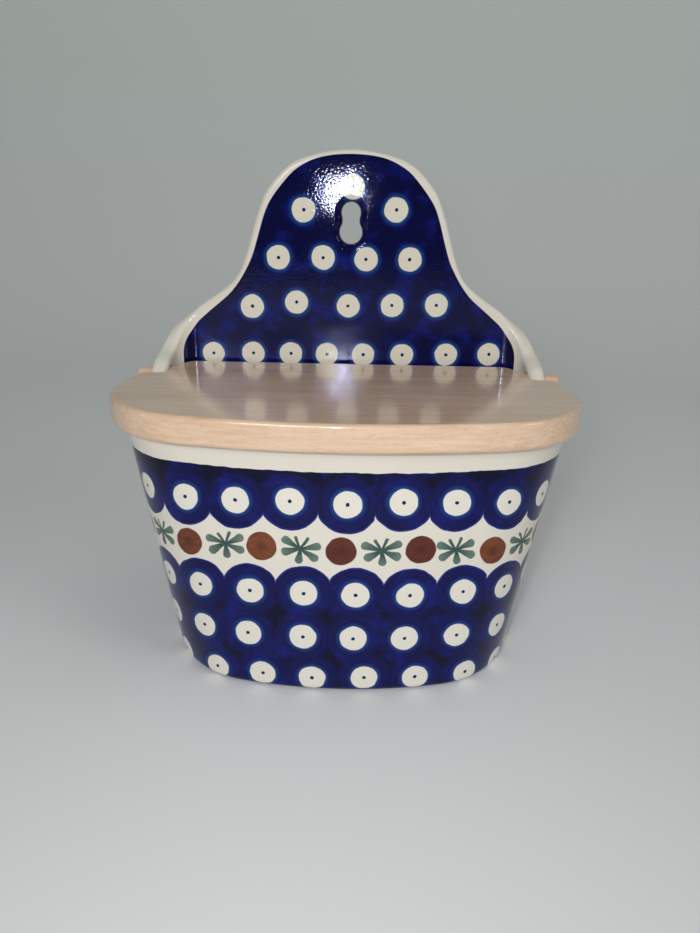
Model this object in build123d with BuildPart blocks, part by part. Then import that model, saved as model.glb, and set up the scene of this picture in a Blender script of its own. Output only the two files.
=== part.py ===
"""Hanging sugar holder: a stoneware pot with a tall back plate, and a wooden lid that turns on two dowels.

Millimetres. X to the right, Y to the back, Z up. The origin is the middle of the overall box, on the table.
"""
from build123d import *
from math import sqrt
import os

# Lid, the widest board of the object. Distances "ahead" are measured forward from the lid's straight back edge.
lid_half_width = 80.0
lid_ahead = 87.5
lid_thickness = 10.0
lid_corner_radius = 42.0
lid_bow_radius = 240.0
lid_top_rounding = 1.4
lid_low_rounding = 3.0

# How the object lies from front to back
plate_gap = 3.0
plate_thickness = 6.0
back_y = (lid_ahead + plate_gap + plate_thickness) / 2
plate_front_y = back_y - plate_thickness
lid_back_y = plate_front_y - plate_gap

# Heights
rim_z = 91.0
band_height = 8.0
band_z = rim_z - band_height
lid_top_z = rim_z + lid_thickness
floor_thickness = 6.5
wall_thickness = 5.6

# Basin seen from above at the rim, under the lid's overhang: half width at the front corner, front, and radii
rim_half_width = lid_half_width - 0.8
rim_ahead = lid_ahead - 6.7
rim_corner_radius = 33.0
rim_bow_radius = 220.0
rim_rounding = 1.6

# Basin below the flared cream band, and at the base
band_half_width = rim_half_width - 2.8
band_ahead = rim_ahead - 1.5
base_half_width = rim_half_width - 15.2
base_ahead = rim_ahead - 4.0
base_corner_radius = 36.0
base_bow_radius = 160.0
base_edge_rounding = 2.5
foot_width = 7.0
foot_recess = 1.0

# Rear corners and ears
base_rear_half_width = base_half_width - 2.5
base_rear_radius = 12.0
ear_half_width = lid_half_width - 3.4
ear_rear_radius = 15.0
ear_thickness = 6.4
ear_ahead = 21.5

# Outline of the back plate from its top to the ear: share of the ears' half width, height above the lid
plate_outline = [
    (0, 80.8), (0.268, 76.9), (0.411, 67.5), (0.479, 57.0), (0.542, 41.9),
    (0.597, 33.1), (0.679, 27.5), (0.789, 21.9), (0.901, 14.6), (1.018, 4.0),
]
# Outline of the ear's top from its front to the plate: distance behind the lid's back edge, height above it
ear_outline = [
    (-ear_ahead, -lid_thickness), (-15.2, -1.2), (-11.3, 2.5), (-6.0, 4.0), (-2.5, 6.0), (0, 11.0), (3.5, 24.0),
]

# Keyhole in the back plate: centres of its lobes above the lid, and their radii
keyhole_low_up = 50.8
keyhole_high_up = 58.4
keyhole_low_radius = 4.35
keyhole_high_radius = 3.6
keyhole_waist = 6.5
keyhole_rounding = 1.4

# Tongue of the lid between the ears, and the shoulders in front of them
tongue_side_room = 0.4
tongue_front_half_width = ear_half_width - ear_thickness + tongue_side_room
tongue_rear_half_width = tongue_front_half_width - 4.8
tongue_corner_radius = 6.0
shoulder_ahead = ear_ahead + 0.8
shoulder_inner_radius = 3.5
shoulder_corner_radius = 5.0

# Pivot
pivot_ahead = 8.5
pivot_y = lid_back_y - pivot_ahead
pivot_z = rim_z + lid_thickness / 2
dowel_radius = 4.0
dowel_tip_x = ear_half_width + 6.7
dowel_length = 33.0
dowel_chamfer = 0.6
ear_hole_clearance = 0.4
blind_hole_spare = 1.0

# Reach of cutting shapes past the object, and the slack used to pick edges that lie in a plane
far = 120.0
slack = 0.01


def bow_corner(half_width, ahead, bow_radius):
    """Where the bowed front would meet the side if the corner between them were sharp."""
    return (half_width, lid_back_y - ahead + bow_radius - sqrt(bow_radius**2 - half_width**2))


def half_plan(back, rear_radius, rear_half_width, half_width, ahead, corner_radius, bow_radius):
    """Right half of a level outline of the pot: flat back, round rear corner, side and bowed front."""
    front = lid_back_y - ahead
    rear_end = (rear_half_width, back - rear_radius)
    corner = bow_corner(half_width, ahead, bow_radius)
    with BuildSketch(Plane.XY, mode=Mode.PRIVATE) as half:
        with BuildLine():
            RadiusArc((0, front), corner, -bow_radius)
            Line(corner, rear_end)
            RadiusArc(rear_end, (rear_half_width - rear_radius, back), -rear_radius)
            Polyline((rear_half_width - rear_radius, back), (0, back), (0, front))
        make_face()
        fillet(half.vertices().sort_by_distance(corner)[0], corner_radius)
    return half.sketch


base_out = half_plan(
    back_y, base_rear_radius, base_rear_half_width, base_half_width, base_ahead,
    base_corner_radius, base_bow_radius,
)
band_out = half_plan(
    back_y, ear_rear_radius, ear_half_width, band_half_width, band_ahead, rim_corner_radius, rim_bow_radius
)
rim_out = half_plan(
    back_y, ear_rear_radius, ear_half_width, rim_half_width, rim_ahead, rim_corner_radius, rim_bow_radius
)
floor_in = half_plan(
    plate_front_y, base_rear_radius - plate_thickness, base_rear_half_width - wall_thickness,
    base_half_width - wall_thickness, base_ahead - wall_thickness,
    base_corner_radius - wall_thickness, base_bow_radius - wall_thickness,
)
rim_in = half_plan(
    plate_front_y, ear_rear_radius - plate_thickness, ear_half_width - ear_thickness,
    rim_half_width - wall_thickness, rim_ahead - wall_thickness,
    rim_corner_radius - wall_thickness, rim_bow_radius - wall_thickness,
)
recess = half_plan(
    back_y - foot_width, base_rear_radius - foot_width, base_rear_half_width - foot_width,
    base_half_width - foot_width, base_ahead - foot_width,
    base_corner_radius - foot_width, base_bow_radius - foot_width,
)

with BuildPart() as stoneware_body:
    # Right half of the basin outside, up to the cream band and on through its flare
    with BuildSketch(Plane.XY):
        add(base_out)
    with BuildSketch(Plane.XY.offset(band_z)):
        add(band_out)
    loft(ruled=True)
    with BuildSketch(Plane.XY.offset(band_z)):
        add(band_out)
    with BuildSketch(Plane.XY.offset(rim_z)):
        add(rim_out)
    loft(ruled=True)
    # Hollow, and the rounded rim
    with BuildSketch(Plane.XY.offset(floor_thickness)):
        add(floor_in)
    with BuildSketch(Plane.XY.offset(rim_z)):
        add(rim_in)
    loft(ruled=True, mode=Mode.SUBTRACT)
    rim_edges = faces().sort_by(Axis.Z)[-1].edges()
    fillet(rim_edges.filter_by(lambda edge: edge.center().X > slack), rim_rounding)
    # Back plate and ear stand on the rear of the rim
    with BuildSketch(Plane.XY.offset(rim_z - rim_rounding)):
        add(rim_out)
        add(rim_in, mode=Mode.SUBTRACT)
        with Locations((0, lid_back_y - ear_ahead - far / 2)):
            Rectangle(2 * far, far, mode=Mode.SUBTRACT)
    extrude(amount=far)
    with BuildSketch(Plane.XY):
        add(recess)
    extrude(amount=foot_recess, mode=Mode.SUBTRACT)
    # Outline of the plate from the front, then of the ear from the side
    with BuildSketch(Plane.XZ):
        with BuildLine():
            points = [(share * ear_half_width, lid_top_z + up) for share, up in plate_outline]
            Spline(*points, tangents=[(1, 0), (0.78, -1)])
            Polyline(points[-1], (far, points[-1][1]), (far, 0), (0, 0), points[0])
        make_face()
    extrude(amount=far, both=True, mode=Mode.INTERSECT)
    with BuildSketch(Plane.YZ.offset(ear_half_width - ear_rear_radius)):
        with BuildLine():
            points = [(lid_back_y + behind, lid_top_z + up) for behind, up in ear_outline]
            Spline(*points)
            Polyline(points[-1], (points[-1][0], 2 * far), (points[0][0], 2 * far), points[0])
        make_face()
    extrude(amount=far, mode=Mode.SUBTRACT)
    mirror(about=Plane.YZ)
    # Keyhole, with a soft edge in front
    with BuildSketch(Plane.XZ.offset(-back_y)):
        with Locations((0, lid_top_z + keyhole_low_up)):
            Circle(keyhole_low_radius)
        with Locations((0, lid_top_z + keyhole_high_up)):
            Circle(keyhole_high_radius)
        with Locations((0, lid_top_z + (keyhole_low_up + keyhole_high_up) / 2)):
            Rectangle(keyhole_waist, keyhole_high_up - keyhole_low_up)
    extrude(amount=plate_thickness, mode=Mode.SUBTRACT)
    keyhole_edges = (
        edges()
        .filter_by_position(Axis.Y, plate_front_y - slack, plate_front_y + slack)
        .filter_by_position(Axis.X, -keyhole_waist, keyhole_waist)
        .filter_by_position(
            Axis.Z,
            lid_top_z + keyhole_low_up - 1.1 * keyhole_low_radius,
            lid_top_z + keyhole_high_up + 1.1 * keyhole_high_radius,
        )
    )
    fillet(keyhole_edges, keyhole_rounding)
    fillet(faces().sort_by(Axis.Z)[0].outer_wire().edges(), base_edge_rounding)
    # Pivot holes through the ears
    with Locations(Location((0, pivot_y, pivot_z), (0, 90, 0))):
        Cylinder(dowel_radius + ear_hole_clearance, 2 * far, mode=Mode.SUBTRACT)

with BuildPart() as wooden_lid:
    with BuildSketch(Plane.XY.offset(rim_z)):
        corner = bow_corner(lid_half_width, lid_ahead, lid_bow_radius)
        shoulder_y = lid_back_y - shoulder_ahead
        with BuildLine():
            RadiusArc((0, lid_back_y - lid_ahead), corner, -lid_bow_radius)
            Polyline(
                corner, (lid_half_width, shoulder_y), (tongue_front_half_width, shoulder_y),
                (tongue_rear_half_width, lid_back_y), (0, lid_back_y), (0, lid_back_y - lid_ahead),
            )
        make_face()
        for place, radius in [
            (corner, lid_corner_radius),
            ((lid_half_width, shoulder_y), shoulder_corner_radius),
            ((tongue_front_half_width, shoulder_y), shoulder_inner_radius),
            ((tongue_rear_half_width, lid_back_y), tongue_corner_radius),
        ]:
            fillet(vertices().sort_by_distance(place)[0], radius)
        mirror(about=Plane.YZ)
    extrude(amount=lid_thickness)
    fillet(faces().sort_by(Axis.Z)[-1].edges(), lid_top_rounding)
    fillet(faces().sort_by(Axis.Z)[0].edges(), lid_low_rounding)
    # Blind holes for the dowels, from both edges of the tongue
    hole_bottom_x = dowel_tip_x - dowel_length - blind_hole_spare
    for side in (1, -1):
        with Locations(Location((side * (hole_bottom_x + far / 2), pivot_y, pivot_z), (0, 90, 0))):
            Cylinder(dowel_radius, far, mode=Mode.SUBTRACT)


def hinge_dowel(side):
    """Short beech dowel of one side, from inside the lid out through the ear."""
    with BuildPart() as dowel:
        with Locations(Location((side * (dowel_tip_x - dowel_length / 2), pivot_y, pivot_z), (0, 90, 0))):
            Cylinder(dowel_radius, dowel_length)
        chamfer(dowel.edges().filter_by(GeomType.CIRCLE), dowel_chamfer)
    return dowel.part


os.makedirs("parts", exist_ok=True)
pieces = {
    "stoneware_body": stoneware_body.part,
    "wooden_lid": wooden_lid.part,
    "left_hinge_dowel": hinge_dowel(-1),
    "right_hinge_dowel": hinge_dowel(1),
}
for name, piece in pieces.items():
    piece.label = name
    export_step(piece, f"parts/{name}.step")
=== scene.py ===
"""Hanging sugar holder: glazed stoneware pot with stamped cobalt pattern, and a varnished beech lid."""
from math import cos, pi, radians, sin, sqrt

import bpy
from mathutils import Euler, Matrix, Vector


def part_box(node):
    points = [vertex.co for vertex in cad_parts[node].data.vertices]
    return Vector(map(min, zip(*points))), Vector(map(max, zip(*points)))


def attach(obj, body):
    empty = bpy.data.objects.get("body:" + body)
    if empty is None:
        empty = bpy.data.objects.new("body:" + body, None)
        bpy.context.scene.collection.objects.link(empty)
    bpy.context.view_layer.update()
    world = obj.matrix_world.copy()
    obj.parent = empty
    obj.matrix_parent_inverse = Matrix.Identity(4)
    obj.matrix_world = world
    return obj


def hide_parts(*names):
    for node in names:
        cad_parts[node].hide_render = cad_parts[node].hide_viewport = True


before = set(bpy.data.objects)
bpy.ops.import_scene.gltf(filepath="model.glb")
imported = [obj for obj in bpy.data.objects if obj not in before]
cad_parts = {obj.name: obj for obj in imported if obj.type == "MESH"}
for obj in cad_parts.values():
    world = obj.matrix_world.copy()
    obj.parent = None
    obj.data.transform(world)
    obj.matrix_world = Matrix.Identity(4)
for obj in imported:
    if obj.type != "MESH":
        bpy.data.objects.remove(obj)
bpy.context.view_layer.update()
bpy.ops.object.select_all(action="DESELECT")

# Camera: held close above the lid, looking down 20 degrees, and turned and tilted by a hair.
# Its place is measured from the middle of the lid's straight back edge, on the lid's top.
mm = 0.001
lid_low, lid_high = (Vector(corner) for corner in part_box("wooden_lid"))
lid_top = lid_high.z
lid_back = lid_high.y
camera_right, camera_ahead, camera_above = 4.0 * mm, 291.2 * mm, 61.1 * mm
degrees_down, degrees_left, degrees_tilted = 20.0, 0.51, 1.08
photo_height = 933
focal_px = 720
bpy.ops.object.camera_add(location=(camera_right, lid_back - camera_ahead, lid_top + camera_above))
camera = bpy.context.object
look = Euler((radians(90 - degrees_down), 0, radians(degrees_left))).to_matrix()
look = look @ Matrix.Rotation(radians(degrees_tilted), 3, "Z")
camera.rotation_euler = look.to_euler()
camera.data.sensor_width = 36
camera.data.lens = camera.data.sensor_width * focal_px / photo_height
bpy.context.scene.camera = camera

# Stoneware body: slip-cast basin with a tall back plate and two ears, all one piece, about 6 mm thick.
# It is modelled as a sheet of rings that runs from under the foot, up outside, over the edge and down inside.
# Outlines are given at four levels: half width at the front corner, front, and the radii of corner and bow.
plate_thickness = 6.0 * mm
plate_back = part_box("stoneware_body")[1][1]
plate_front = plate_back - plate_thickness
rim_z = lid_low.z
band_z = rim_z - 8 * mm
floor_z = 6.5 * mm
wall = 5.6 * mm
ear_thickness = 6.4 * mm
edge_rounding = 2.0 * mm
foot_rounding = 2.5 * mm
floor_rounding = 6 * mm
rim_half = 80.2 * mm
rim_front = lid_back - 80.8 * mm
rim_corner_radius, rim_bow_radius = 33 * mm, 220 * mm
band_half = rim_half - 2.8 * mm
band_front = rim_front + 1.5 * mm
base_half = rim_half - 15.7 * mm
base_front = rim_front + 1.6 * mm
base_corner_radius, base_bow_radius = 36 * mm, 160 * mm
base_rear_half = base_half - 2.5 * mm
base_rear_radius = 12 * mm
ear_half = 76.6 * mm
ear_rear_radius = 15 * mm
back_steps, rear_steps, side_steps, corner_steps, bow_steps = 44, 14, 20, 20, 24


def pot_outline(back, rear_radius, rear_half, half, front, corner_radius, bow_radius):
    """Right half of a level outline, evenly split: flat back, rear corner, side, front corner and bow."""
    bow_centre = Vector((0, front + bow_radius))
    rear_centre = Vector((rear_half - rear_radius, back - rear_radius))
    rear_end = Vector((rear_half, back - rear_radius))
    side = (Vector((half, bow_centre.y - sqrt(bow_radius**2 - half**2))) - rear_end).normalized()
    inward = Vector((side.y, -side.x))
    start = rear_end + inward * corner_radius - bow_centre
    slope = start.dot(side)
    along = -slope + sqrt(slope**2 - start.dot(start) + (bow_radius - corner_radius) ** 2)
    corner_start = rear_end + side * along
    corner_centre = corner_start + inward * corner_radius
    bow_start = bow_centre + (corner_centre - bow_centre).normalized() * bow_radius
    points = [Vector((rear_centre.x * i / back_steps, back)) for i in range(back_steps)]
    for centre, first, last, steps in (
        (rear_centre, Vector((0, rear_radius)), Vector((rear_radius, 0)), rear_steps),
        (None, rear_end, corner_start, side_steps),
        (corner_centre, corner_start - corner_centre, bow_start - corner_centre, corner_steps),
        (bow_centre, bow_start - bow_centre, Vector((0, -bow_radius)), bow_steps),
    ):
        for i in range(steps):
            if centre is None:
                points.append(first.lerp(last, i / steps))
            else:
                points.append(centre + Matrix.Rotation(-first.angle(last) * i / steps, 2) @ first)
    points.append(Vector((0, front)))
    return points


base_outline = pot_outline(
    plate_back, base_rear_radius, base_rear_half, base_half, base_front, base_corner_radius, base_bow_radius)
band_outline = pot_outline(
    plate_back, ear_rear_radius, ear_half, band_half, band_front, rim_corner_radius, rim_bow_radius)
rim_outline = pot_outline(
    plate_back, ear_rear_radius, ear_half, rim_half, rim_front, rim_corner_radius, rim_bow_radius)
rim_inner = pot_outline(
    plate_front, ear_rear_radius - plate_thickness, ear_half - ear_thickness, rim_half - wall,
    rim_front + wall, rim_corner_radius - wall, rim_bow_radius - wall)
floor_outline = pot_outline(
    plate_front, base_rear_radius - plate_thickness, base_rear_half - wall, base_half - wall,
    base_front + wall, base_corner_radius - wall, base_bow_radius - wall)


def inset(outline, distance):
    """The same half outline, moved inwards by a distance all along."""
    moved = []
    for i, point in enumerate(outline):
        before = outline[i - 1] if i else Vector((-outline[1].x, outline[1].y))
        after = outline[i + 1] if i + 1 < len(outline) else Vector((-outline[i - 1].x, outline[i - 1].y))
        run = (after - before).normalized()
        moved.append(point + Vector((run.y, -run.x)) * distance)
    return moved


def at_station(outline, place):
    """Point of an outline at a fractional place in its list."""
    first = min(int(place), len(outline) - 2)
    return outline[first].lerp(outline[first + 1], place - first)


# Station: distance along the middle of the wall at the rim, from the middle of the back
stations = [0.0]
for i in range(1, len(rim_outline)):
    middle = (rim_outline[i] + rim_inner[i]) / 2
    middle_before = (rim_outline[i - 1] + rim_inner[i - 1]) / 2
    stations.append(stations[-1] + (middle - middle_before).length)
columns = len(stations) - 1


def place_of(station):
    """Fractional place in the outline lists of a station."""
    station = min(max(station, 0.0), stations[-1])
    i = max(k for k in range(columns) if stations[k] <= station)
    return i + (station - stations[i]) / (stations[i + 1] - stations[i])


def smooth_run(corners, steps):
    """Smooth line through given points (station, height), in metres."""
    line = []
    ends = [2 * corners[0] - corners[1]] + corners + [2 * corners[-1] - corners[-2]]
    for a, b, c, d in zip(ends, ends[1:], ends[2:], ends[3:]):
        for k in range(steps):
            t = k / steps
            rest = (c - a) * t + (2 * a - 5 * b + 4 * c - d) * t**2 + (3 * b - a - 3 * c + d) * t**3
            line.append(b + rest / 2)
    return line + [corners[-1]]


# Free edge of the sheet: over the plate, down its shoulder, round the corner and along the ear to the rim.
# Its first point lies left of the middle and only makes the top level.
edge_corners = [
    (-20.5, 76.9), (0, 80.8), (20.5, 76.9), (31.5, 67.5), (36.7, 57.0), (41.5, 41.9), (45.7, 33.1),
    (52.0, 27.5), (60.4, 21.9), (67.9, 15.9), (71.0, 13.2), (74.2, 9.6), (77.6, 6.0), (81.5, 4.0),
    (85.8, 2.4), (89.7, -1.2), (95.4, -9.2), (97.0, -10.0),
]
edge_steps = 16
edge_line = [Vector((along * mm, lid_top + up * mm)) for along, up in edge_corners]
edge_line = smooth_run(edge_line, edge_steps)[edge_steps:]
ear_end = edge_line[-1].x
run_lengths = [0.0]
for before, after in zip(edge_line, edge_line[1:]):
    run_lengths.append(run_lengths[-1] + (after - before).length)


def edge_at(station):
    """Where a column of the sheet meets the free edge, and the edge's outward direction there."""
    if station >= ear_end:
        return Vector((station, rim_z)), Vector((0, 1))
    target = run_lengths[-1] * station / ear_end
    i = max(k for k in range(len(edge_line) - 1) if run_lengths[k] <= target)
    run = edge_line[i + 1] - edge_line[i]
    share = (target - run_lengths[i]) / (run_lengths[i + 1] - run_lengths[i])
    return edge_line[i].lerp(edge_line[i + 1], share), Vector((-run.y, run.x)).normalized()


def wall_point(depth, station, z):
    """Point of the wall: depth 0 is its outside and 1 its inside."""
    place = place_of(station)
    if z >= rim_z:
        outer = at_station(rim_outline, place)
    elif z >= band_z:
        rise = (z - band_z) / (rim_z - band_z)
        outer = at_station(band_outline, place).lerp(at_station(rim_outline, place), rise)
    else:
        outer = at_station(base_outline, place).lerp(at_station(band_outline, place), z / band_z)
    rise = min((z - floor_z) / (rim_z - floor_z), 1)
    inner = at_station(floor_outline, place).lerp(at_station(rim_inner, place), rise)
    point = outer.lerp(inner, depth)
    return Vector((point.x, point.y, z))


# Foot from the recess to the outside: how far inside the base's outline, and height
foot_inset = 7 * mm
foot_recess = 1 * mm
foot_profile = [
    (foot_inset + 0.7 * mm, foot_recess), (foot_inset, 0.85 * foot_recess),
    (foot_inset - 0.6 * mm, 0.15 * foot_recess), (foot_inset - 1.2 * mm, 0),
]
bend_steps = 5
bends = [radians(90) * k / bend_steps for k in range(bend_steps + 1)]
low_rows, high_rows = 30, 22


def column_points(i):
    """One column of the sheet, from under the foot over the free edge to the floor of the basin."""
    station = stations[i]
    points = []
    for distance, z in foot_profile:
        points.append((inset(base_outline, distance)[i].to_3d() + Vector((0, 0, z)), station))
    for bend in bends[:-1]:
        flat = inset(base_outline, foot_rounding * (1 - sin(bend)))[i]
        points.append((Vector((flat.x, flat.y, foot_rounding * (1 - cos(bend)))), station))
    for k in range(low_rows + 1):
        z = foot_rounding + (band_z - foot_rounding) * k / low_rows
        points.append((wall_point(0, station, z), station))
    top, outward = edge_at(station)
    start = Vector((station, band_z))
    below = top - outward * edge_rounding
    rise = [start.lerp(below, k / high_rows) for k in range(1, high_rows + 1)]
    points += [(wall_point(0, spot.x, spot.y), spot.x) for spot in rise]
    over = []
    for bend in bends[1:]:
        spot = top - outward * edge_rounding * (1 - sin(bend))
        over.append((spot, edge_rounding * (1 - cos(bend))))
    for spot, deep in over:
        points.append((wall_point(deep / wall, spot.x, spot.y), spot.x))
    points.append((wall_point(0.5, top.x, top.y), top.x))
    for spot, deep in reversed(over):
        points.append((wall_point(1 - deep / wall, spot.x, spot.y), spot.x))
    points += [(wall_point(1, spot.x, spot.y), spot.x) for spot in reversed(rise)]
    bottom = floor_z + floor_rounding
    for k in range(low_rows + 1):
        points.append((wall_point(1, station, band_z + (bottom - band_z) * k / low_rows), station))
    for bend in bends[1:]:
        flat = inset(floor_outline, floor_rounding * (1 - cos(bend)))[i]
        points.append((Vector((flat.x, flat.y, bottom - floor_rounding * sin(bend))), station))
    return points


half = [column_points(i) for i in range(columns + 1)]
rows = len(half[0])
# The sheet goes round from the middle of the back over the left, the front and the right
ring = [(i, -1) for i in range(columns + 1)] + [(i, 1) for i in range(columns - 1, -1, -1)]
bpy.ops.mesh.primitive_grid_add(
    x_subdivisions=len(ring) - 1, y_subdivisions=rows - 1, size=1, calc_uvs=True)
body = bpy.context.object
body.name = "glazed_stoneware_body"
places = []
for row in range(rows):
    for i, side in ring:
        point = half[i][row][0]
        places.append(Vector((side * point.x, point.y, point.z)))
for vertex, place in zip(body.data.vertices, places):
    vertex.co = place

# Map "stamp" is laid along the wall for the stamps: distance from the middle of the front outside, and from
# the middle of the back inside, and height. Map "paint" holds how far a point lies inside the blue panel of
# the plate, and its station plus 1 mm, which is negative inside, so that its sign tells the two faces.
panel_corners = [
    (-12.0, 77.8), (0, 79.0), (12.0, 77.8), (20.5, 74.0), (25.5, 69.5), (31.5, 62.0), (34.2, 56.0),
    (36.5, 48.5), (39.0, 41.0), (41.0, 37.0), (44.0, 32.0), (48.0, 27.0), (52.3, 23.3), (56.6, 19.8),
    (61.2, 15.8), (65.4, 11.7), (68.8, 8.1), (70.6, 4.0), (70.8, -1.0), (70.8, -4.0), (70.0, -8.5),
    (65.0, -10.0), (50.0, -10.0), (0, -10.0), (-12.0, -10.0),
]
panel_line = [Vector((along * mm, lid_top + up * mm)) for along, up in panel_corners]
panel_line = smooth_run(panel_line, 4)
far_below_panel = band_z - 10 * mm
no_paint = -5 * mm


def inside_panel(station, z):
    """Distance of a point of the inner face inside the blue panel, minus outside it."""
    spot = Vector((station, z))
    nearest = 1.0
    crossings = 0
    for a, b in zip(panel_line, panel_line[1:]):
        run = b - a
        share = min(max((spot - a).dot(run) / run.dot(run), 0), 1)
        nearest = min(nearest, (spot - a - run * share).length)
        if (a.y > z) != (b.y > z) and station < a.x + (z - a.y) * run.x / run.y:
            crossings += 1
    return nearest if crossings % 2 else -nearest


foot_rows = len(foot_profile)
bare_ring_height = -3 * mm


def stamp_height(row, z):
    """Height on the stamp map: the world's, but unrolled round the foot's edge and low on the bare ring."""
    if row < 2:
        return z
    if row < foot_rows:
        return bare_ring_height
    bend = (row - foot_rows) / bend_steps * pi / 2
    return foot_rounding * (1 - pi / 2 + bend) if row < foot_rows + bend_steps else z


uv_unit = 200 * mm
face_offset = 1 * mm
edge_row = foot_rows + bend_steps + (low_rows + 1) + high_rows + bend_steps
stamp_places, paint_places = [], []
for row in range(rows):
    flat_row = [half[i][row][0].to_2d() for i in range(columns + 1)]
    around = [0.0] * (columns + 1)
    for i in range(columns - 1, -1, -1):
        around[i] = around[i + 1] + (flat_row[i] - flat_row[i + 1]).length
    inside = row > edge_row
    panel = []
    for i in range(columns + 1):
        point, station = half[i][row]
        painted = inside and point.z > far_below_panel
        panel.append(max(inside_panel(station, point.z), no_paint) if painted else no_paint)
    for i, side in ring:
        point, station = half[i][row]
        along = side * (station if inside else around[i])
        face_mark = -face_offset - station if inside else face_offset + station
        stamp_places.append(Vector((along, stamp_height(row, point.z))) / uv_unit)
        paint_places.append(Vector((panel[i], face_mark)) / uv_unit)
stamp_map = body.data.uv_layers[0]
stamp_map.name = "stamp"
paint_map = body.data.uv_layers.new(name="paint")
for loop in body.data.loops:
    stamp_map.data[loop.index].uv = stamp_places[loop.vertex_index]
    paint_map.data[loop.index].uv = paint_places[loop.vertex_index]

# Join the seam at the back, close foot and floor, and turn all faces outwards
slack = 0.01 * mm
bpy.ops.object.mode_set(mode="EDIT")
bpy.ops.mesh.select_all(action="SELECT")
bpy.ops.mesh.remove_doubles(threshold=slack / 10)
bpy.ops.mesh.fill_holes(sides=0)
bpy.ops.mesh.normals_make_consistent(inside=False)
bpy.ops.object.mode_set(mode="OBJECT")

# Keyhole: both faces of the plate are made plain around it, the hole is cut, and its front edge is softened
keyhole_low, keyhole_high = lid_top + 50.8 * mm, lid_top + 58.4 * mm
keyhole_low_radius, keyhole_high_radius = 4.35 * mm, 3.6 * mm
keyhole_waist = 6.5 * mm
keyhole_softness = 2.8 * mm
keyhole_middle = keyhole_low + 0.55 * (keyhole_high - keyhole_low)
plain_beside, plain_below, plain_above = 8.5 * mm, 8.5 * mm, 8 * mm


def choose_edges(target, wanted):
    """Select the edges of the active object whose two ends are wanted, and go to edit mode."""
    bpy.ops.object.mode_set(mode="EDIT")
    bpy.ops.mesh.select_mode(type="EDGE")
    bpy.ops.mesh.select_all(action="DESELECT")
    bpy.ops.object.mode_set(mode="OBJECT")
    for edge in target.data.edges:
        edge.select = wanted(*(target.data.vertices[i].co for i in edge.vertices))
    bpy.ops.object.mode_set(mode="EDIT")


def cut(target, tool):
    """Take a tool's shape out of an object and throw the tool away."""
    modifier = target.modifiers.new("cut", "BOOLEAN")
    modifier.operation = "DIFFERENCE"
    modifier.solver = "EXACT"
    modifier.object = tool
    bpy.context.view_layer.objects.active = target
    bpy.ops.object.modifier_apply(modifier=modifier.name)
    bpy.data.objects.remove(tool)


for plate_y in (plate_front, plate_back):
    bpy.ops.object.mode_set(mode="EDIT")
    bpy.ops.mesh.select_mode(type="FACE")
    bpy.ops.mesh.select_all(action="DESELECT")
    bpy.ops.object.mode_set(mode="OBJECT")
    for face in body.data.polygons:
        middle = face.center
        face.select = (
            abs(middle.x) < plain_beside and abs(middle.y - plate_y) < slack
            and keyhole_low - plain_below < middle.z < keyhole_high + plain_above
        )
    bpy.ops.object.mode_set(mode="EDIT")
    bpy.ops.mesh.dissolve_faces(use_verts=True)
    bpy.ops.object.mode_set(mode="OBJECT")
# The tool is a cylinder whose sides are moved out to two lobes and a waist that melt into one another
plate_middle = (plate_front + plate_back) / 2
melting = 9
bpy.ops.mesh.primitive_cylinder_add(vertices=72, radius=1, depth=4 * plate_thickness)
keyhole_tool = bpy.context.object
for vertex in keyhole_tool.data.vertices:
    sideways, upwards = Vector((vertex.co.x, vertex.co.y)).normalized()
    reaches = []
    for centre, radius in ((keyhole_low, keyhole_low_radius), (keyhole_high, keyhole_high_radius)):
        offset = centre - keyhole_middle
        reaches.append(upwards * offset + sqrt(max(radius**2 - (sideways * offset) ** 2, 0)))
    reaches.append(min(keyhole_waist / 2 / max(abs(sideways), 0.01), 0.6 * keyhole_waist))
    reach = sum(max(length, 0) ** melting for length in reaches) ** (1 / melting)
    vertex.co = (sideways * reach, plate_middle - vertex.co.z, keyhole_middle + upwards * reach)
cut(body, keyhole_tool)
longest_hole_edge = 0.9 * mm


def on_keyhole_front(one, other):
    """Whether an edge belongs to the keyhole's outline in the front face of the plate."""
    middle = (one + other) / 2
    return (
        all(abs(end.y - plate_front) < slack for end in (one, other))
        and Vector((middle.x, middle.z - keyhole_middle)).length < plain_below
        and (one - other).length < longest_hole_edge and abs(middle.x) < 0.9 * keyhole_waist
    )


choose_edges(body, on_keyhole_front)
bpy.ops.mesh.bevel(offset=keyhole_softness, segments=6, affect="EDGES", clamp_overlap=False)
bpy.ops.object.mode_set(mode="OBJECT")

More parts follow.
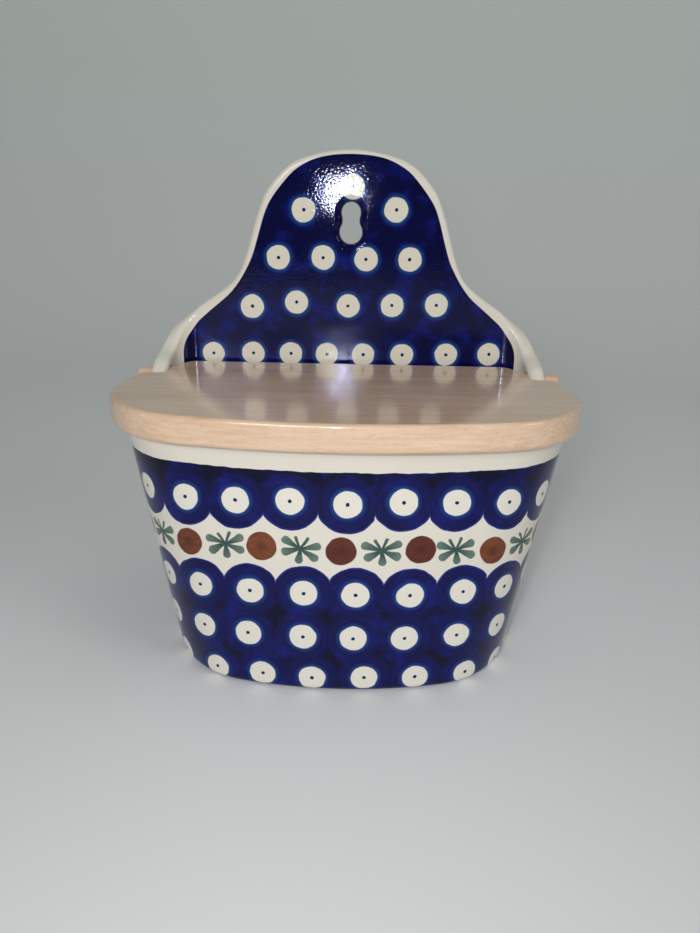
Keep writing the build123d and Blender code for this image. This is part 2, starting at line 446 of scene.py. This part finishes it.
# Pivot holes: straight through both ears, with a soft edge where the glaze pulls back. Cones of 45 degrees
# are cut first. The cylinder leans 2 degrees seen from above, because sides that meet exactly leave slivers.
pivot_y = lid_back - 8.5 * mm
pivot_z = (lid_low.z + lid_high.z) / 2
ear_hole_radius = 4.4 * mm
hole_softness = 0.7 * mm
outer_x, inner_x = (
    next(a.lerp(b, (a.y - pivot_y) / (a.y - b.y)).x
         for a, b in zip(outline, outline[1:]) if a.x > ear_half / 2 and a.y >= pivot_y > b.y)
    for outline in (rim_outline, rim_inner)
)
for side in (-1, 1):
    for x, outward in ((outer_x, 1), (inner_x, -1)):
        bpy.ops.mesh.primitive_cone_add(
            vertices=48, depth=4 * hole_softness, rotation=(0, radians(90) * side * outward, 0),
            radius1=ear_hole_radius - 2 * hole_softness, radius2=ear_hole_radius + 2 * hole_softness,
            location=(side * (x - outward * hole_softness), pivot_y, pivot_z))
        cut(body, bpy.context.object)
    bpy.ops.mesh.primitive_cylinder_add(
        vertices=48, radius=ear_hole_radius, depth=3 * ear_thickness,
        location=(side * (outer_x + inner_x) / 2, pivot_y, pivot_z), rotation=(0, radians(90), radians(2)))
    cut(body, bpy.context.object)

# Faces made by the cuts get their place on the maps: the pivot holes are cream, and the blue glaze runs into
# the keyhole's soft edge but not through the hole
keyhole_reach = 10 * mm
deep_in_panel = 10 * mm
for face in body.data.polygons:
    middle = face.center
    from_pivot = Vector((middle.y - pivot_y, middle.z - pivot_z)).length
    from_keyhole = Vector((middle.x, middle.z - keyhole_middle)).length
    if from_pivot < ear_hole_radius + 2 * hole_softness:
        for index in face.loop_indices:
            body.data.uv_layers["paint"].data[index].uv = (no_paint / uv_unit, -face_offset / uv_unit)
    elif from_keyhole < keyhole_reach and plate_front + slack < middle.y < plate_back - slack:
        painted = middle.y < plate_front + 0.9 * keyhole_softness
        paint = deep_in_panel if painted else no_paint
        for index in face.loop_indices:
            spot = body.data.vertices[body.data.loops[index].vertex_index].co
            face_mark = -face_offset - abs(spot.x)
            body.data.uv_layers["stamp"].data[index].uv = (spot.x / uv_unit, spot.z / uv_unit)
            body.data.uv_layers["paint"].data[index].uv = (paint / uv_unit, face_mark / uv_unit)


def shade_evenly(piece):
    """Shade a piece smooth, except at edges of over 40 degrees, with normals weighted by the faces' areas."""
    bpy.ops.object.select_all(action="DESELECT")
    piece.select_set(True)
    bpy.context.view_layer.objects.active = piece
    bpy.ops.object.shade_smooth_by_angle(angle=radians(40))
    modifier = piece.modifiers.new("even_shading", "WEIGHTED_NORMAL")
    modifier.keep_sharp = True
    bpy.ops.object.modifier_apply(modifier=modifier.name)


shade_evenly(body)
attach(body, "pot")
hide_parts("stoneware_body")

# Finish of the body: stoneware in a cream glaze, stamped and brushed with cobalt blue, green and brown before
# a clear gloss glaze was fired over it. It gives the eye deep uneven blues, brush streaks round each stamp,
# and small mirror highlights with a finely speckled edge.


def linear(code):
    """Linear colour of an sRGB hex code."""
    parts = [int(code[i:i + 2], 16) / 255 for i in (1, 3, 5)]
    return [*(part / 12.92 if part <= 0.04045 else ((part + 0.055) / 1.055) ** 2.4 for part in parts), 1]


def node(tree, kind, inputs=None, out=0, **settings):
    """Add a shader node with its settings and inputs, as values or links, and give back one output."""
    made = tree.nodes.new("ShaderNode" + kind)
    for name, value in settings.items():
        setattr(made, name, value)
    for socket, value in (inputs or {}).items():
        if isinstance(value, bpy.types.NodeSocket):
            tree.links.new(value, made.inputs[socket])
        else:
            made.inputs[socket].default_value = value
    return made.outputs[out] if made.outputs else None


def set_stops(ramp_output, stops):
    """Give a colour ramp its stops: place and hex colour."""
    elements = ramp_output.node.color_ramp.elements
    while len(elements) < len(stops):
        elements.new(1)
    for element, (place, code) in zip(elements, stops):
        element.position = place
        element.color = linear(code)


glaze = bpy.data.materials.new("cream_glazed_stoneware_with_cobalt_stamps")
glaze.use_nodes = True
tree = glaze.node_tree
tree.nodes.clear()
map_to_mm = (uv_unit / mm, uv_unit / mm, 0)
stamp_spot = node(tree, "UVMap", uv_map="stamp")
spot = node(tree, "VectorMath", {0: stamp_spot, 1: map_to_mm}, operation="MULTIPLY")
# All that follows is in millimetres. The hand's unevenness shifts every edge by up to 0.45 mm.
shake = node(tree, "TexNoise", {"Vector": spot, "Scale": 1 / 5, "Detail": 2}, out=1)
shake = node(tree, "VectorMath", {0: shake, 1: (0.9, 0.9, 0), 2: (-0.45, -0.45, 0)},
             operation="MULTIPLY_ADD")
spot = node(tree, "VectorMath", {0: spot, 1: shake}, operation="ADD")
height = node(tree, "SeparateXYZ", {0: spot}, out=1)
paint_spot = node(tree, "UVMap", uv_map="paint")
paint_spot = node(tree, "VectorMath", {0: paint_spot, 1: map_to_mm}, operation="MULTIPLY")
in_panel = node(tree, "SeparateXYZ", {0: paint_spot})
station_mm = node(tree, "SeparateXYZ", {0: paint_spot}, out=1)

# The printed rows sag where they go round the front corners, 70 mm from the middle of the front
sag_depth, corner_distance = 2.4, 70
on_outside = node(tree, "Math", {0: station_mm, 1: 0.0}, operation="GREATER_THAN")
from_front = node(tree, "SeparateXYZ", {0: spot})
swing = node(tree, "Math", {0: from_front, 1: pi / corner_distance}, operation="MULTIPLY")
swing = node(tree, "Math", {0: swing}, operation="COSINE")
swing = node(tree, "Math", {0: swing, 1: -0.5, 2: 0.5}, operation="MULTIPLY_ADD")
sag = node(tree, "Math", {0: swing, 1: 3.0}, operation="POWER")
sag = node(tree, "Math", {0: sag, 1: sag_depth}, operation="MULTIPLY")
sag = node(tree, "Math", {0: sag, 1: on_outside}, operation="MULTIPLY")
spot = node(tree, "VectorMath", {0: spot, 1: node(tree, "CombineXYZ", {1: sag})}, operation="ADD")

# Rows of round stamps on the basin: place of one dot from the middle of the front, and height of the row.
# Each stamp is set up to 0.75 mm out of line.
dot_step = 18.1
dot_rows = [(1.4, 72.3), (4.9, 39.1), (4.5, 22.3), (8.8, 5.9)]
dot_distances = []
for number, (first, level) in enumerate(dot_rows):
    from_first = node(tree, "VectorMath", {0: spot, 1: (-first, -level, 0)}, operation="ADD")
    cell = node(tree, "VectorMath", {0: from_first, 1: (1 / dot_step, 0, 0), 2: (0.5, number, 0)},
                operation="MULTIPLY_ADD")
    cell = node(tree, "VectorMath", {0: cell}, operation="FLOOR")
    chance = node(tree, "TexWhiteNoise", {"Vector": cell}, out=1)
    slip = node(tree, "VectorMath", {0: chance, 1: (1.5, 1.1, 0), 2: (-0.75, -0.55, 0)},
                operation="MULTIPLY_ADD")
    middle = node(tree, "VectorMath", {0: cell, 1: (dot_step, 0, 0), 2: slip}, operation="MULTIPLY_ADD")
    dot_distances.append(
        node(tree, "VectorMath", {0: from_first, 1: middle}, out=1, operation="DISTANCE"))
nearest_dot = dot_distances[0]
for distance in dot_distances[1:]:
    nearest_dot = node(tree, "Math", {0: nearest_dot, 1: distance}, operation="MINIMUM")

# Stamps on the back plate, listed one by one: X, and height above the lid
plate_dots = [
    (0.5, 67.5), (-18.4, 58.8), (17.4, 59.4), (-28.5, 41.0), (-10.8, 41.3), (6.2, 40.9), (23.5, 41.1),
    (-39.3, 21.8), (-21.4, 23.8), (-0.6, 22.7), (17.1, 23.2), (34.9, 23.7), (-55.8, 2.5), (-39.4, 2.9),
    (-23.9, 3.0), (-9.0, 3.0), (5.9, 3.1), (21.9, 3.3), (40.0, 3.7), (57.6, 4.2),
]
nearest_plate_dot = None
for x, up in plate_dots:
    dot_middle = (x, lid_top / mm + up, 0)
    distance = node(tree, "VectorMath", {0: spot, 1: dot_middle}, out=1, operation="DISTANCE")
    nearest_plate_dot = distance if nearest_plate_dot is None else node(
        tree, "Math", {0: nearest_plate_dot, 1: distance}, operation="MINIMUM")

# Blues: brush streaks run round the stamps, and darker and brighter patches lie between them.
# The ramps go from the middle of a stamp outwards: blue point, cream dot, lighter blue ring, blues.
ramp_reach = 12.0
streak_spot = node(tree, "Math", {0: nearest_dot, 1: 0.9}, operation="MULTIPLY")
streak_spot = node(tree, "CombineXYZ", {0: streak_spot})
streak_spot = node(tree, "VectorMath", {0: spot, 1: (0.09, 0.09, 0), 2: streak_spot},
                   operation="MULTIPLY_ADD")
streaks = node(tree, "TexNoise", {"Vector": streak_spot, "Scale": 1.0, "Detail": 3, "Roughness": 0.6})
patches = node(tree, "TexNoise", {"Vector": spot, "Scale": 1 / 9, "Detail": 3, "Roughness": 0.55})
streaked = node(tree, "Math", {0: streaks, 1: 1.1, 2: -0.55}, operation="MULTIPLY_ADD")
dot_reach = node(tree, "Math", {0: nearest_dot, 1: 1 / ramp_reach}, operation="MULTIPLY")
basin_blue = node(tree, "ValToRGB", {0: dot_reach})
set_stops(basin_blue, [
    (0.0, "#12205A"), (0.05, "#12205A"), (0.064, "#E4DFD3"), (0.380, "#E4DFD3"), (0.398, "#16407E"),
    (0.46, "#0F2C6C"), (0.53, "#080C4A"), (0.66, "#0A0C4E"), (0.78, "#08093E"), (0.84, "#030322"),
    (1.0, "#02021E"),
])
# The plate's cream dots are painted a little darker than the basin's, #DCD7C7 against #E4DFD3: painted shade,
# for the weaker light on the plate.
plate_reach = node(tree, "Math", {0: nearest_plate_dot, 1: 1 / ramp_reach}, operation="MULTIPLY")
plate_blue_with_shaded_dots = node(tree, "ValToRGB", {0: plate_reach})
set_stops(plate_blue_with_shaded_dots, [
    (0.0, "#12205A"), (0.05, "#12205A"), (0.064, "#DCD7C7"), (0.374, "#DCD7C7"), (0.392, "#15457F"),
    (0.46, "#0F3272"), (0.53, "#080D48"), (0.60, "#05063A"), (1.0, "#040534"),
])
on_inside = node(tree, "Math", {0: station_mm, 1: 0.0}, operation="LESS_THAN")
blues = node(tree, "MixRGB", {0: on_inside, 1: basin_blue, 2: plate_blue_with_shaded_dots})
nearest = node(tree, "Mix", {0: on_inside, 2: nearest_dot, 3: nearest_plate_dot})
off_dot = node(tree, "MapRange", {"Value": nearest, "From Min": 4.9, "From Max": 5.6})
bright = node(tree, "MapRange", {"Value": patches, "From Min": 0.5, "From Max": 0.72, "To Max": 0.55})
bright = node(tree, "Math", {0: bright, 1: off_dot}, operation="MULTIPLY")
blues = node(tree, "MixRGB", {0: bright, 1: blues, 2: linear("#141F88")})
dark = node(tree, "MapRange", {"Value": streaked, "From Min": -0.02, "From Max": 0.2, "To Max": 0.5})
dark = node(tree, "Math", {0: dark, 1: off_dot}, operation="MULTIPLY")
blues = node(tree, "MixRGB", {0: dark, 1: blues, 2: linear("#05052E")})

# Cream band between the first and second row: brown discs and green flowers by turns
flower_step = 26.0
band_level = 55.3
disc_radius = 5.25
from_band = node(tree, "VectorMath", {0: spot, 1: (0.5, -band_level, 0)}, operation="ADD")
cell = node(tree, "VectorMath", {0: from_band, 1: (1 / flower_step, 0, 0), 2: (0.5, 7, 0)},
            operation="MULTIPLY_ADD")
cell = node(tree, "VectorMath", {0: cell}, operation="FLOOR")
chance = node(tree, "TexWhiteNoise", {"Vector": cell}, out=1)
slip = node(tree, "VectorMath", {0: chance, 1: (1, 1, 0), 2: (-0.5, -0.5, 0)}, operation="MULTIPLY_ADD")
middle = node(tree, "VectorMath", {0: cell, 1: (flower_step, 0, 0), 2: slip}, operation="MULTIPLY_ADD")
disc_distance = node(tree, "VectorMath", {0: from_band, 1: middle}, out=1, operation="DISTANCE")
disc_ink = node(tree, "MapRange", {
    "Value": disc_distance, "From Min": disc_radius, "From Max": disc_radius - 0.25})
disc_light = node(tree, "SeparateXYZ", {0: chance}, out=2)
disc_light = node(tree, "Math", {0: disc_light, 1: patches}, operation="MULTIPLY")
disc_light = node(tree, "MapRange", {"Value": disc_light, "From Min": 0.1, "From Max": 0.45})
browns = node(tree, "MixRGB", {0: disc_light, 1: linear("#5E2E1E"), 2: linear("#7C4424")})
disc_dark = node(tree, "MapRange", {
    "Value": disc_distance, "From Min": 2.6, "From Max": 0.6, "To Max": 0.55})
browns = node(tree, "MixRGB", {0: disc_dark, 1: browns, 2: linear("#43200F")})
disc_streaks = node(tree, "MapRange", {
    "Value": streaks, "From Min": 0.45, "From Max": 0.65, "To Max": 0.45})
browns = node(tree, "MixRGB", {0: disc_streaks, 1: browns, 2: linear("#4A2416")})

# Flowers stand halfway between the discs and 0.8 mm higher, each leaning a little its own way
flower_start = (0.5 - flower_step / 2, -band_level - 0.8, 0)
from_flower = node(tree, "VectorMath", {0: spot, 1: flower_start}, operation="ADD")
cell = node(tree, "VectorMath", {0: from_flower, 1: (1 / flower_step, 0, 0), 2: (0.5, 11, 0)},
            operation="MULTIPLY_ADD")
cell = node(tree, "VectorMath", {0: cell}, operation="FLOOR")
chance = node(tree, "TexWhiteNoise", {"Vector": cell}, out=1)
slip = node(tree, "VectorMath", {0: chance, 1: (1.2, 1.2, 0), 2: (-0.6, -0.6, 0)},
            operation="MULTIPLY_ADD")
middle = node(tree, "VectorMath", {0: cell, 1: (flower_step, 0, 0), 2: slip}, operation="MULTIPLY_ADD")
in_flower = node(tree, "VectorMath", {0: from_flower, 1: middle}, operation="SUBTRACT")
lean = node(tree, "SeparateXYZ", {0: chance}, out=2)
lean = node(tree, "Math", {0: lean, 1: 0.3, 2: -0.15}, operation="MULTIPLY_ADD")
in_flower = node(tree, "VectorRotate", {"Vector": in_flower, "Angle": lean}, rotation_type="Z_AXIS")
# Tips of the two strokes and five petals, and their half widths at the middle and at the tip
petals = [
    (-2.2, 4.3, 0.4, 0.6), (2.3, 4.4, 0.4, 0.6), (-6.5, 3.0, 0.3, 1.5), (6.7, 2.2, 0.3, 1.5),
    (-6.2, -2.6, 0.4, 1.6), (6.2, -3.4, 0.35, 1.6), (-0.1, -5.6, 0.4, 1.4),
]
flower_ink = None
for x, up, narrow, wide in petals:
    tip = Vector((x, up, 0))
    run = tip.normalized() * (tip.length - wide)
    share = node(tree, "VectorMath", {0: in_flower, 1: run / run.length_squared}, out=1,
                 operation="DOT_PRODUCT")
    share = node(tree, "Math", {0: share, 1: 1.0}, operation="MULTIPLY", use_clamp=True)
    on_run = node(tree, "VectorMath", {0: run, 3: share}, operation="SCALE")
    aside = node(tree, "VectorMath", {0: in_flower, 1: on_run}, out=1, operation="DISTANCE")
    half_width = node(tree, "Math", {0: share, 1: wide - narrow, 2: narrow}, operation="MULTIPLY_ADD")
    depth = node(tree, "Math", {0: half_width, 1: aside}, operation="SUBTRACT")
    flower_ink = depth if flower_ink is None else node(
        tree, "Math", {0: flower_ink, 1: depth}, operation="MAXIMUM")
flower_ink = node(tree, "MapRange", {"Value": flower_ink, "From Min": -0.08, "From Max": 0.12})
from_middle = node(tree, "VectorMath", {0: in_flower}, out=1, operation="LENGTH")
green_share = node(tree, "MapRange", {"Value": from_middle, "From Min": 1.5, "From Max": 6.5})
green_share = node(tree, "Math", {0: green_share, 1: streaked}, operation="ADD")
greens = node(tree, "MixRGB", {0: green_share, 1: linear("#35504B"), 2: linear("#64796F")},
              use_clamp=True)

# Cream glaze all over, then the painted areas on top of it. The blue of the first and second row ends in
# scallops of this radius round the stamps, with a brighter fringe.
scallop = 10.35
first_level, second_level = dot_rows[0][1], dot_rows[1][1]
cream_tone = node(tree, "TexNoise", {"Vector": spot, "Scale": 1 / 30, "Detail": 3})
creams = node(tree, "MixRGB", {0: cream_tone, 1: linear("#DDD7CA"), 2: linear("#E3DED2")})
banded = node(tree, "MixRGB", {0: flower_ink, 1: creams, 2: greens})
banded = node(tree, "MixRGB", {0: disc_ink, 1: banded, 2: browns})
above_first = node(tree, "MapRange", {
    "Value": height, "From Min": first_level, "From Max": first_level + 0.1})
below_second = node(tree, "MapRange", {
    "Value": height, "From Min": second_level, "From Max": second_level - 0.1})
off_band = node(tree, "Math", {0: above_first, 1: below_second}, operation="MAXIMUM")
blue_mask = off_band
for distance in dot_distances[:2]:
    within = node(tree, "MapRange", {
        "Value": distance, "From Min": scallop + 0.12, "From Max": scallop - 0.12})
    blue_mask = node(tree, "Math", {0: blue_mask, 1: within}, operation="MAXIMUM")
first_or_second = node(tree, "Math", {0: dot_distances[0], 1: dot_distances[1]}, operation="MINIMUM")
fringe = node(tree, "MapRange", {
    "Value": first_or_second, "From Min": scallop - 0.9, "From Max": scallop - 0.2})
fringe = node(tree, "Math", {0: fringe, 1: off_band}, operation="SUBTRACT", use_clamp=True)
fringed = node(tree, "MixRGB", {0: fringe, 1: blues, 2: linear("#1B2680")})
banded = node(tree, "MixRGB", {0: blue_mask, 1: banded, 2: fringed})
below_rim_band = node(tree, "MapRange", {"Value": height, "From Min": 82.9, "From Max": 82.7})
off_back = node(tree, "MapRange", {"Value": station_mm, "From Min": 70.8, "From Max": 71.2})
basin_mask = node(tree, "Math", {0: below_rim_band, 1: off_back}, operation="MULTIPLY")
plate_mask = node(tree, "MapRange", {"Value": in_panel, "From Min": -0.12, "From Max": 0.12})
colours = node(tree, "MixRGB", {0: basin_mask, 1: creams, 2: banded})
colours = node(tree, "MixRGB", {0: plate_mask, 1: colours, 2: blues})
# The foot ring is wiped clean of glaze and shows the bare buff clay
bare = node(tree, "MapRange", {"Value": height, "From Min": -1.2, "From Max": -1.6})
colours = node(tree, "MixRGB", {0: bare, 1: colours, 2: linear("#C8B69A")})
glaze_roughness = node(tree, "MapRange", {"Value": bare, "To Min": 0.045, "To Max": 0.7})

# Glaze surface: orange peel about 0.8 mm across, and a slow waviness of 9 mm. Gloss over the blues is tinted
# by a hair of their colour.
place = node(tree, "TexCoord", out=3)
peel = node(tree, "TexNoise", {"Vector": place, "Scale": 1 / (0.8 * mm), "Detail": 2})
swell = node(tree, "TexNoise", {"Vector": place, "Scale": 1 / (9 * mm), "Detail": 1})
relief = node(tree, "Math", {0: swell, 1: 2.5, 2: peel}, operation="MULTIPLY_ADD")
bumped = node(tree, "Bump", {"Height": relief, "Strength": 1.0, "Distance": 0.026 * mm})
brightness = node(tree, "RGBToBW", {0: colours})
brightness = node(tree, "MapRange", {"Value": brightness, "From Min": 0.03, "From Max": 0.2})
gloss_tint = node(tree, "MixRGB", {0: brightness, 1: linear("#BFC3E6"), 2: linear("#FFFFFF")})
glaze_surface = node(tree, "BsdfPrincipled", {
    "Base Color": colours, "Specular Tint": gloss_tint, "Roughness": glaze_roughness, "IOR": 1.45,
    "Normal": bumped})
node(tree, "OutputMaterial", {"Surface": glaze_surface})
body.data.materials.clear()
body.data.materials.append(glaze)

# Lid: one board of beech, 10 mm thick, sawn to shape, its edges rounded over, and varnished.
# Its tongue reaches back between the ears, where it turns on two dowels glued into its ends.
lid_half = lid_high.x
lid_front = lid_low.y
lid_thickness = lid_high.z - lid_low.z
lid_top_rounding, lid_low_rounding = 1.4 * mm, 2.4 * mm
lid_corner_radius, lid_bow_radius = 38 * mm, 240 * mm
shoulder_y = lid_back - 22.3 * mm
shoulder_radius = 5 * mm
shoulder_half = lid_half - 0.6 * mm
side_meets_bow = lid_half + 5.5 * mm
tongue_front = Vector((70.6 * mm, shoulder_y))
tongue_rear = Vector((65.8 * mm, lid_back))
tongue_front_radius, tongue_rear_radius = 3.5 * mm, 6 * mm
tongue_steps = 12


def rounded(before, corner, after, radius, steps=8):
    """Points of an arc that rounds a corner between two straight lines."""
    back_run, on_run = (before - corner).normalized(), (after - corner).normalized()
    half_angle = back_run.angle(on_run) / 2
    centre = corner + (back_run + on_run).normalized() * radius / sin(half_angle)
    first = corner + back_run * radius / sin(half_angle) * cos(half_angle) - centre
    last = corner + on_run * radius / sin(half_angle) * cos(half_angle) - centre
    turn = first.angle_signed(last)
    return [centre + Matrix.Rotation(-turn * k / steps, 2) @ first for k in range(steps + 1)]


lid_outline = [Vector((tongue_rear.x * k / tongue_steps, lid_back)) for k in range(tongue_steps - 1)]
lid_outline += rounded(Vector((0, lid_back)), tongue_rear, tongue_front, tongue_rear_radius)
lid_outline += rounded(tongue_rear, tongue_front, Vector((lid_half, shoulder_y)), tongue_front_radius)
# The board from its shoulder forwards has the same kind of outline as the pot, without the back
lid_outline += pot_outline(
    shoulder_y, shoulder_radius, shoulder_half, side_meets_bow, lid_front, lid_corner_radius,
    lid_bow_radius)[back_steps:]
lid_outline += [Vector((-point.x, point.y)) for point in lid_outline[-2:0:-1]]
bpy.ops.mesh.primitive_circle_add(vertices=len(lid_outline), radius=1, fill_type="NGON")
lid = bpy.context.object
lid.name = "varnished_beech_lid"
for vertex, point in zip(lid.data.vertices, lid_outline):
    vertex.co = (point.x, point.y, lid_low.z)
bpy.ops.object.mode_set(mode="EDIT")
bpy.ops.mesh.select_all(action="SELECT")
bpy.ops.mesh.extrude_region_move(TRANSFORM_OT_translate={"value": (0, 0, lid_thickness)})
bpy.ops.mesh.select_all(action="SELECT")
bpy.ops.mesh.normals_make_consistent(inside=False)
bpy.ops.object.mode_set(mode="OBJECT")
for level, rounding, steps in ((lid_high.z, lid_top_rounding, 4), (lid_low.z, lid_low_rounding, 6)):
    choose_edges(lid, lambda one, other: max(abs(one.z - level), abs(other.z - level)) < slack)
    bpy.ops.mesh.bevel(offset=rounding, segments=steps, affect="EDGES", clamp_overlap=False)
    bpy.ops.object.mode_set(mode="OBJECT")
# Blind holes for the dowels
dowel_radius = 4.0 * mm
dowel_length = 33 * mm
dowel_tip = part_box("right_hinge_dowel")[1][0]
hole_spare = 1 * mm
glue_room = 0.05 * mm
hole_end = dowel_tip - dowel_length - hole_spare
for side in (-1, 1):
    bpy.ops.mesh.primitive_cylinder_add(
        vertices=48, radius=dowel_radius + glue_room, depth=2 * dowel_length,
        location=(side * (hole_end + dowel_length), pivot_y, pivot_z), rotation=(0, radians(90), 0))
    cut(lid, bpy.context.object)
shade_evenly(lid)
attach(lid, "lid")
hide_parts("wooden_lid")

# Finish of the lid: steamed beech, planed and sanded, under a clear gloss varnish. It gives the eye a pale
# peach ground, fine lines and short brown flecks along the grain, which runs left and right, and soft
# reflections of the plate.
beech = bpy.data.materials.new("varnished_beech")
beech.use_nodes = True
tree = beech.node_tree
tree.nodes.clear()
place = node(tree, "TexCoord", out=3)
line_spot = node(tree, "VectorMath", {0: place, 1: (1 / (40 * mm), 1 / (1.5 * mm), 1 / (1.2 * mm))},
                 operation="MULTIPLY")
lines = node(tree, "TexNoise", {"Vector": line_spot, "Scale": 1.0, "Detail": 4, "Roughness": 0.6})
tone_spot = node(tree, "VectorMath", {0: place, 1: (1 / (110 * mm), 1 / (14 * mm), 1 / (8 * mm))},
                 operation="MULTIPLY")
tones = node(tree, "TexNoise", {"Vector": tone_spot, "Scale": 1.0, "Detail": 3, "Distortion": 0.6})
fleck_spot = node(tree, "VectorMath", {0: place, 1: (1 / (1.9 * mm), 1 / (0.34 * mm), 1 / (0.3 * mm))},
                  operation="MULTIPLY")
flecks = node(tree, "TexNoise", {"Vector": fleck_spot, "Scale": 1.0, "Detail": 2, "Roughness": 0.5})
grain = node(tree, "Math", {0: tones, 1: 0.9, 2: lines}, operation="MULTIPLY_ADD")
wood_share = node(tree, "MapRange", {"Value": grain, "From Min": 0.62, "From Max": 1.25})
wood_colour = node(tree, "ValToRGB", {0: wood_share})
set_stops(wood_colour, [(0.0, "#C9A482"), (0.45, "#DBB99B"), (1.0, "#E7CCB2")])
fleck_share = node(tree, "MapRange", {
    "Value": flecks, "From Min": 0.56, "From Max": 0.7, "To Max": 0.3})
wood_colour = node(tree, "MixRGB", {0: fleck_share, 1: wood_colour, 2: linear("#B0835A")})
wood_relief = node(tree, "Bump", {"Height": flecks, "Strength": 1.0, "Distance": -0.01 * mm})
skin_spot = node(tree, "VectorMath", {0: place, 1: (1 / (5 * mm), 1 / (0.6 * mm), 1 / (0.6 * mm))},
                 operation="MULTIPLY")
skin = node(tree, "TexNoise", {"Vector": skin_spot, "Scale": 1.0, "Detail": 2})
grit = node(tree, "TexNoise", {"Vector": place, "Scale": 1 / (0.5 * mm), "Detail": 1})
skin = node(tree, "Math", {0: grit, 1: 0.5, 2: skin}, operation="MULTIPLY_ADD")
skin = node(tree, "Bump", {"Height": skin, "Strength": 1.0, "Distance": 0.02 * mm})
beech_surface = node(tree, "BsdfPrincipled", {
    "Base Color": wood_colour, "Roughness": 0.42, "IOR": 1.5, "Normal": wood_relief, "Coat Normal": skin,
    "Coat Weight": 1.0, "Coat Roughness": 0.09, "Coat IOR": 1.5})
node(tree, "OutputMaterial", {"Surface": beech_surface})
lid.data.materials.clear()
lid.data.materials.append(beech)

# Hinge dowels: two short lengths of 8 mm beech dowel rod, pushed through the ears and glued into the lid.
# Their outer ends stand out beyond the ears, and both ends are lightly rounded. The right one is a copy.
dowel_middle = dowel_tip - dowel_length / 2
bpy.ops.mesh.primitive_cylinder_add(
    vertices=64, radius=dowel_radius, depth=dowel_length, rotation=(0, radians(90), 0),
    location=(-dowel_middle, pivot_y, pivot_z))
left_dowel = bpy.context.object
left_dowel.name = "beech_left_hinge_dowel"
bpy.ops.object.transform_apply(location=True, rotation=True, scale=True)
# All edges are bevelled at once: the ones round the ends, and the very low ones along the rod
dowel_rounding = 0.6 * mm
bpy.ops.object.mode_set(mode="EDIT")
bpy.ops.mesh.select_mode(type="EDGE")
bpy.ops.mesh.select_all(action="SELECT")
bpy.ops.mesh.bevel(offset=dowel_rounding, segments=3, affect="EDGES")
bpy.ops.object.mode_set(mode="OBJECT")
bpy.ops.object.shade_smooth_by_angle(angle=radians(50))
bpy.ops.object.duplicate(linked=False)
right_dowel = bpy.context.object
right_dowel.name = "beech_right_hinge_dowel"
bpy.ops.object.mode_set(mode="EDIT")
bpy.ops.mesh.select_all(action="SELECT")
bpy.ops.transform.translate(value=(2 * dowel_middle, 0, 0))
bpy.ops.object.mode_set(mode="OBJECT")
for dowel, name in ((left_dowel, "left_hinge_dowel"), (right_dowel, "right_hinge_dowel")):
    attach(dowel, "lid")
    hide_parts(name)
    dowel.data.materials.clear()
    dowel.data.materials.append(beech)

# Surroundings: a pale floor that sweeps up into the backdrop behind the object, not part of it. In metres.
sweep_width = 5
floor_front, bend_start, bend_radius, sweep_top = -1.6, 0.45, 0.5, 2.4
floor_length = bend_start - floor_front
bend_length = bend_radius * pi / 2
bpy.ops.mesh.primitive_grid_add(x_subdivisions=2, y_subdivisions=60, size=1)
sweep = bpy.context.object
sweep.name = "floor_and_backdrop"
for vertex in sweep.data.vertices:
    run = (vertex.co.y + 0.5) * (floor_length + bend_length + sweep_top)
    if run < floor_length:
        y, z = floor_front + run, 0
    elif run < floor_length + bend_length:
        turn = (run - floor_length) / bend_radius
        y, z = bend_start + bend_radius * sin(turn), bend_radius * (1 - cos(turn))
    else:
        y, z = bend_start + bend_radius, bend_radius + run - floor_length - bend_length
    vertex.co = (vertex.co.x * sweep_width, y, z)
bpy.ops.object.shade_smooth()
paper = bpy.data.materials.new("pale_matt_backdrop_paper")
paper.use_nodes = True
tree = paper.node_tree
tree.nodes.clear()
place = node(tree, "TexCoord", out=3)
up_share = node(tree, "SeparateXYZ", {0: place}, out=2)
up_share = node(tree, "MapRange", {"Value": up_share, "From Min": 0.0, "From Max": 0.35})
paper_colour = node(tree, "MixRGB", {0: up_share, 1: linear("#EEEFF0"), 2: linear("#E6EEE8")})
paper_tone = node(tree, "TexNoise", {"Vector": place, "Scale": 1 / 0.2, "Detail": 3})
paper_tone = node(tree, "Math", {0: paper_tone, 1: 0.12}, operation="MULTIPLY")
paper_colour = node(tree, "MixRGB", {0: paper_tone, 1: paper_colour, 2: linear("#C8CECC")})
paper_surface = node(tree, "BsdfPrincipled", {"Base Color": paper_colour, "Roughness": 0.85})
node(tree, "OutputMaterial", {"Surface": paper_surface})
sweep.data.materials.append(paper)

# Light: three softboxes and a small lamp beside the camera, under a pale grey surround.
# Place and disc size are in metres, power in watts.
target = Vector((0, 0, 90 * mm))
beside_camera = Vector((-12 * mm, camera.location.y, lid_top + 70 * mm))
for name, place, size, power in (
    ("softbox_front", Vector((-0.4, -1.3, 0.66)), 0.55, 7.0),
    ("softbox_above", Vector((0.5, -0.2, 1.6)), 0.9, 1.6),
    ("softbox_right", Vector((1.2, -0.7, 0.7)), 0.7, 3),
    ("lamp_by_camera", beside_camera, 0.018, 0.2),
):
    aim = (target - place).to_track_quat("-Z", "Y").to_euler()
    bpy.ops.object.light_add(type="AREA", location=place, rotation=aim)
    light = bpy.context.object
    light.name = name
    light.data.shape = "DISK"
    light.data.size = size
    light.data.energy = power
world = bpy.data.worlds.new("studio")
bpy.context.scene.world = world
world.use_nodes = True
tree = world.node_tree
tree.nodes.clear()
surround = node(tree, "Background", {"Color": linear("#D9DDDD"), "Strength": 0.22})
node(tree, "OutputWorld", {"Surface": surround})
bpy.context.scene.view_settings.view_transform = "Standard"
